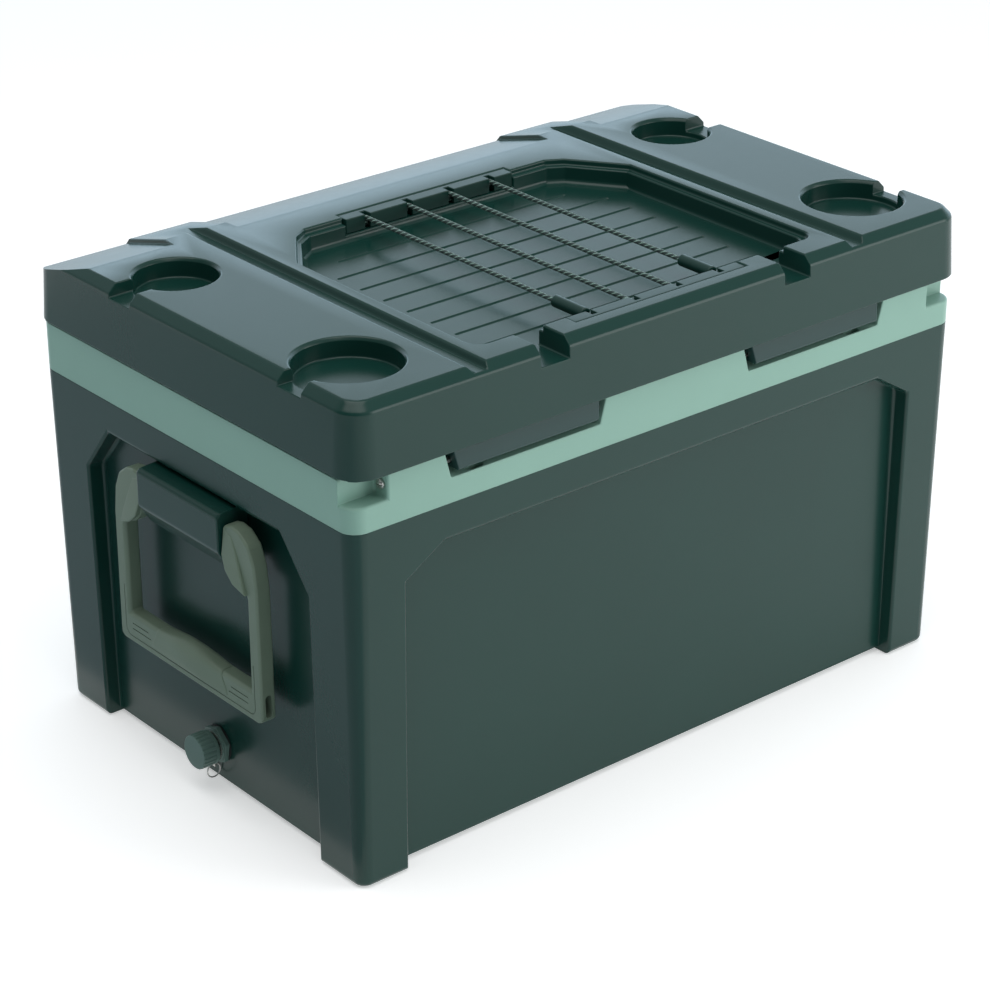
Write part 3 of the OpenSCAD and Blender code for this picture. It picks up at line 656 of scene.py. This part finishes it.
def thumb_rests(side, name):
    """A leaf-shaped rest that stands proud of each arm beside the block."""
    leaf = [(61.6, 284, 0.2), (61.6, 260, 3.4), (67, 247, 4.2), (77, 238, 4.4), (92.5, 232.5, 3.2),
            (87, 248, 2.6), (80, 266, 1.4), (73, 281, 0.3)]
    for e, end in ((-1, "front"), (1, "rear")):
        top = [Vector((side * (BAIL_OUT_X + out), e * y, z)) * MM for y, z, out in leaf]
        base = [Vector((side * (BAIL_OUT_X - 5), e * y, z)) * MM for y, z, out in leaf]
        blank = rings_mesh([base, top], "blank", OLIVE)
        bm = bmesh.new()
        bm.from_mesh(blank.data)
        bpy.data.objects.remove(blank)
        faces = [f for f in bm.faces if len(f.verts) > 4 and abs(f.calc_center_median().x) > 355 * MM]
        bmesh.ops.triangulate(bm, faces=faces)
        widest = mark_edges(bm, lambda mid, along, convex: 1.4 if abs(mid.x) > BAIL_OUT_X else 0.0, 30.0)
        o = finish_mesh(bm, name + "_rest_" + end, OLIVE)
        filleted(o, widest, 3, clamp=True)
        place(shaded(o, 40.0), name)


for s, side in (("left", -1), ("right", 1)):
    bail(side, "bail_" + s)
    grip(side, "grip_" + s)
    thumb_rests(side, "bail_" + s)


# ---------------------------------------------------------------- shock cord

CORD_Z, CORD_R, BEND_R, PITCH = 440.0, 2.15, 3.5, 48.3
CORD_STEP, RELIEF, TURNS, LAY = 0.9, 0.10, 5, 4.5
REAR_Y, FRONT_Y, END_Y = 107.4, -196.5, -199.5


def arc(c, u, v, r, n=5):
    """Quarter circle about c from direction u to direction v, without its first point."""
    turns = [math.pi / 2 * i / n for i in range(1, n + 1)]
    return [c + (u * math.cos(t) + v * math.sin(t)) * r for t in turns]


def cord_route():
    """One length, from a clamp under the rear bar, back under the front bar, and so to the other clamp."""
    xs = [PITCH * k for k in (-1.5, -0.5, 0.5, 1.5)]
    ends = [(END_Y, REAR_Y), (REAR_Y, FRONT_Y), (FRONT_Y, REAR_Y), (REAR_Y, END_Y)]
    X, Y, Z = Vector((1, 0, 0)), Vector((0, 1, 0)), Vector((0, 0, 1))
    pts = []
    for k, (x, (y0, y1)) in enumerate(zip(xs, ends)):
        steps = max(2, int(abs(y1 - y0) / 20))
        first = 0 if k == 0 else 1
        pts += [Vector((x, y0 + (y1 - y0) * i / steps, CORD_Z)) for i in range(first, steps + 1)]
        if k == 3:
            break
        d = Y if y1 > y0 else -Y
        c = Vector((x, y1, CORD_Z - BEND_R))
        pts += arc(c, Z, d, BEND_R)
        c = Vector((x + BEND_R, y1 + d.y * BEND_R, CORD_Z - BEND_R))
        pts += arc(c, -X, -Z, BEND_R)
        c = Vector((xs[k + 1] - BEND_R, y1 + d.y * BEND_R, CORD_Z - BEND_R))
        pts += [c - Z * BEND_R] + arc(c, -Z, X, BEND_R)
        c = Vector((xs[k + 1], y1, CORD_Z - BEND_R))
        pts += arc(c, d, Z, BEND_R)
    return pts


def resampled(pts, step):
    """Points at equal steps along a polyline, with the distance of each."""
    out, dist, done = [(pts[0], 0.0)], 0.0, 0.0
    for a, b in zip(pts, pts[1:]):
        seg = (b - a).length
        while done + step <= dist + seg:
            done += step
            out.append((a.lerp(b, (done - dist) / seg), done))
        dist += seg
    return out


def cord():
    """Braided sleeve on the cord: crossing strands in real relief, with UVs for the fleck pattern."""
    pts = resampled(cord_route(), CORD_STEP)
    around = 20
    bm = bmesh.new()
    uv = bm.loops.layers.uv.new("UVMap")
    rows = []
    normal = Vector((0, 0, 1))
    for i, (p, s) in enumerate(pts):
        a, b = pts[max(0, i - 1)][0], pts[min(len(pts) - 1, i + 1)][0]
        t = (b - a).normalized()
        normal = (normal - t * normal.dot(t)).normalized()
        side = t.cross(normal)
        row = []
        for j in range(around):
            u = j / around
            one, other = TURNS * u + s / LAY, TURNS * u - s / LAY
            r = CORD_R - RELIEF + RELIEF * math.cos(2 * math.pi * one) * math.cos(2 * math.pi * other)
            ang = 2 * math.pi * u
            row.append(bm.verts.new((p + (normal * math.cos(ang) + side * math.sin(ang)) * r) * MM))
        rows.append(row)
    for i in range(len(rows) - 1):
        s0, s1 = pts[i][1], pts[i + 1][1]
        for j in range(around):
            k = (j + 1) % around
            f = bm.faces.new((rows[i][j], rows[i][k], rows[i + 1][k], rows[i + 1][j]))
            u0, u1 = j / around, (j + 1) / around
            for loop, corner in zip(f.loops, ((u0, s0), (u1, s0), (u1, s1), (u0, s1))):
                loop[uv].uv = corner
    bm.faces.new(rows[0])
    bm.faces.new(rows[-1][::-1])
    bmesh.ops.recalc_face_normals(bm, faces=bm.faces)
    o = finish_mesh(bm, "bungee_cord_braided", CORD)
    return place(o, "bungee_cord")


cord()


# ---------------------------------------------------------------- stage, light, camera

def area(name, loc, target, size, power, color):
    """A rectangular lamp at loc that faces target."""
    li = bpy.data.lights.new(name, "AREA")
    li.shape = "RECTANGLE"
    li.size, li.size_y = size
    li.energy = power
    li.color = color
    o = bpy.data.objects.new(name, li)
    o.location = loc
    d = Vector(target) - Vector(loc)
    o.rotation_euler = d.to_track_quat("-Z", "Y").to_euler()
    scene.collection.objects.link(o)
    return o


area("key_top", (-0.5, -0.3, 2.6), (0, 0, 0.2), (2.6, 2.0), 30, (1.0, 0.995, 0.985))
area("front_fill", (1.7, -2.3, 1.1), (0.1, 0, 0.2), (1.8, 1.6), 26, (1.0, 1.0, 1.0))

# The room: pale all round, with a large cool window light low down behind the object.
world = bpy.data.worlds.new("studio")
scene.world = world
world.use_nodes = True
wt = world.node_tree
wt.nodes.clear()
wout = wt.nodes.new("ShaderNodeOutputWorld")
wbg = wt.nodes.new("ShaderNodeBackground")
direction = wt.nodes.new("ShaderNodeTexCoord").outputs["Generated"]
behind = node(wt, "ShaderNodeVectorMath", operation="DOT_PRODUCT")
behind.inputs[1].default_value = (0.64, 0.77, 0.0)
wt.links.new(direction, behind.inputs[0])
facing = node(wt, "ShaderNodeMapRange", interpolation_type="SMOOTHSTEP", i_1=0.15, i_2=0.85)
wt.links.new(behind.outputs["Value"], facing.inputs[0])
split = wt.nodes.new("ShaderNodeSeparateXYZ")
wt.links.new(direction, split.inputs[0])
low = node(wt, "ShaderNodeMapRange", interpolation_type="SMOOTHSTEP", i_1=0.22, i_2=0.64, i_3=1.0, i_4=0.0)
wt.links.new(split.outputs[2], low.inputs[0])
glow = node(wt, "ShaderNodeMath", operation="MULTIPLY")
wt.links.new(facing.outputs[0], glow.inputs[0])
wt.links.new(low.outputs[0], glow.inputs[1])
power = node(wt, "ShaderNodeMapRange", i_3=0.50, i_4=2.0)
wt.links.new(glow.outputs[0], power.inputs[0])
aside = node(wt, "ShaderNodeVectorMath", operation="DOT_PRODUCT")
aside.inputs[1].default_value = (-0.98, -0.2, 0.0)
wt.links.new(direction, aside.inputs[0])
dim = node(wt, "ShaderNodeMapRange", interpolation_type="SMOOTHSTEP", i_1=0.1, i_2=0.9, i_3=1.0, i_4=0.3)
wt.links.new(aside.outputs["Value"], dim.inputs[0])
strength = node(wt, "ShaderNodeMath", operation="MULTIPLY")
wt.links.new(power.outputs[0], strength.inputs[0])
wt.links.new(dim.outputs[0], strength.inputs[1])
wt.links.new(strength.outputs[0], wbg.inputs["Strength"])
tint = ramp(wt, [(0.0, (0.92, 0.97, 1.0)), (1.0, (0.66, 0.85, 1.0))], glow.outputs[0])
wt.links.new(tint, wbg.inputs["Color"])
wt.links.new(wbg.outputs[0], wout.inputs[0])


def sheet(name, cells, size, stretch, at):
    """A level sheet of the studio."""
    bm = bmesh.new()
    bmesh.ops.create_grid(bm, x_segments=cells, y_segments=cells, size=size)
    bmesh.ops.scale(bm, vec=stretch, verts=bm.verts)
    me = bpy.data.meshes.new(name)
    bm.to_mesh(me)
    bm.free()
    o = bpy.data.objects.new(name, me)
    o.location = at
    scene.collection.objects.link(o)
    return o


floor = sheet("studio_floor", 8, 9.0, (1.0, 1.0, 1.0), (0, 0, -0.0006))
fm = bpy.data.materials.new("floor_paper")
ft, fb = shader_tree(fm)
fn = node(ft, "ShaderNodeTexNoise", i_Scale=220.0, i_Detail=4.0)
ft.links.new(ft.nodes.new("ShaderNodeTexCoord").outputs["Object"], fn.inputs["Vector"])
ft.links.new(ramp(ft, [(0.3, grey(0.90)), (0.7, grey(0.93))], fn.outputs["Fac"]), fb.inputs["Base Color"])
fb.inputs["Roughness"].default_value = 0.9
fb.inputs["Specular IOR Level"].default_value = 0.1
fb.inputs["Emission Color"].default_value = (1, 1, 1, 1)
fb.inputs["Emission Strength"].default_value = 0.42
floor.data.materials.append(fm)

# A grey card low down on the left dims the floor's light on the drain end; the camera looks past it.
card = sheet("grey_card", 1, 0.5, (1.5, 2.4, 1.0), (-1.12, 0.1, 0.004))
cm = bpy.data.materials.new("card_felt")
ct, cb = shader_tree(cm)
cn = node(ct, "ShaderNodeTexNoise", i_Scale=90.0)
tone = ramp(ct, [(0.3, (0.70, 0.78, 0.83)), (0.7, (0.74, 0.82, 0.87))], cn.outputs["Fac"])
ct.links.new(tone, cb.inputs["Base Color"])
cb.inputs["Roughness"].default_value = 1.0
from_below = ct.nodes.new("ShaderNodeNewGeometry").outputs["Backfacing"]
clear = ct.nodes.new("ShaderNodeBsdfTransparent")
mixed = ct.nodes.new("ShaderNodeMixShader")
ct.links.new(from_below, mixed.inputs[0])
ct.links.new(cb.outputs[0], mixed.inputs[1])
ct.links.new(clear.outputs[0], mixed.inputs[2])
card_output = next(n for n in ct.nodes if n.bl_idname == "ShaderNodeOutputMaterial")
ct.links.new(mixed.outputs[0], card_output.inputs["Surface"])
card.data.materials.append(cm)
card.visible_camera = False
card.visible_shadow = False

# The camera of the photo, looking at AIM from a distance, in metres and radians.
SENSOR, LENS, DISTANCE = 36.0, 109.8276, 2.78854
AIM = Vector((-0.012505, -0.000245, 0.183502))
az, el, roll = -0.6930537, 0.4510227, -0.0036915
back = Vector((math.sin(az) * math.cos(el), -math.cos(az) * math.cos(el), math.sin(el)))
right = Vector((0, 0, 1)).cross(back).normalized()
up = back.cross(right)
r2 = right * math.cos(roll) + up * math.sin(roll)
u2 = up * math.cos(roll) - right * math.sin(roll)
cam = bpy.data.cameras.new("camera")
cam.sensor_width = SENSOR
cam.lens = LENS
cam.clip_end = 60.0
co = bpy.data.objects.new("camera", cam)
co.matrix_world = Matrix((
    (r2.x, u2.x, back.x, 0), (r2.y, u2.y, back.y, 0), (r2.z, u2.z, back.z, 0), (0, 0, 0, 1)))
co.location = AIM + back * DISTANCE
scene.collection.objects.link(co)
scene.camera = co
scene.view_settings.view_transform = "Standard"
scene.view_settings.look = "None"
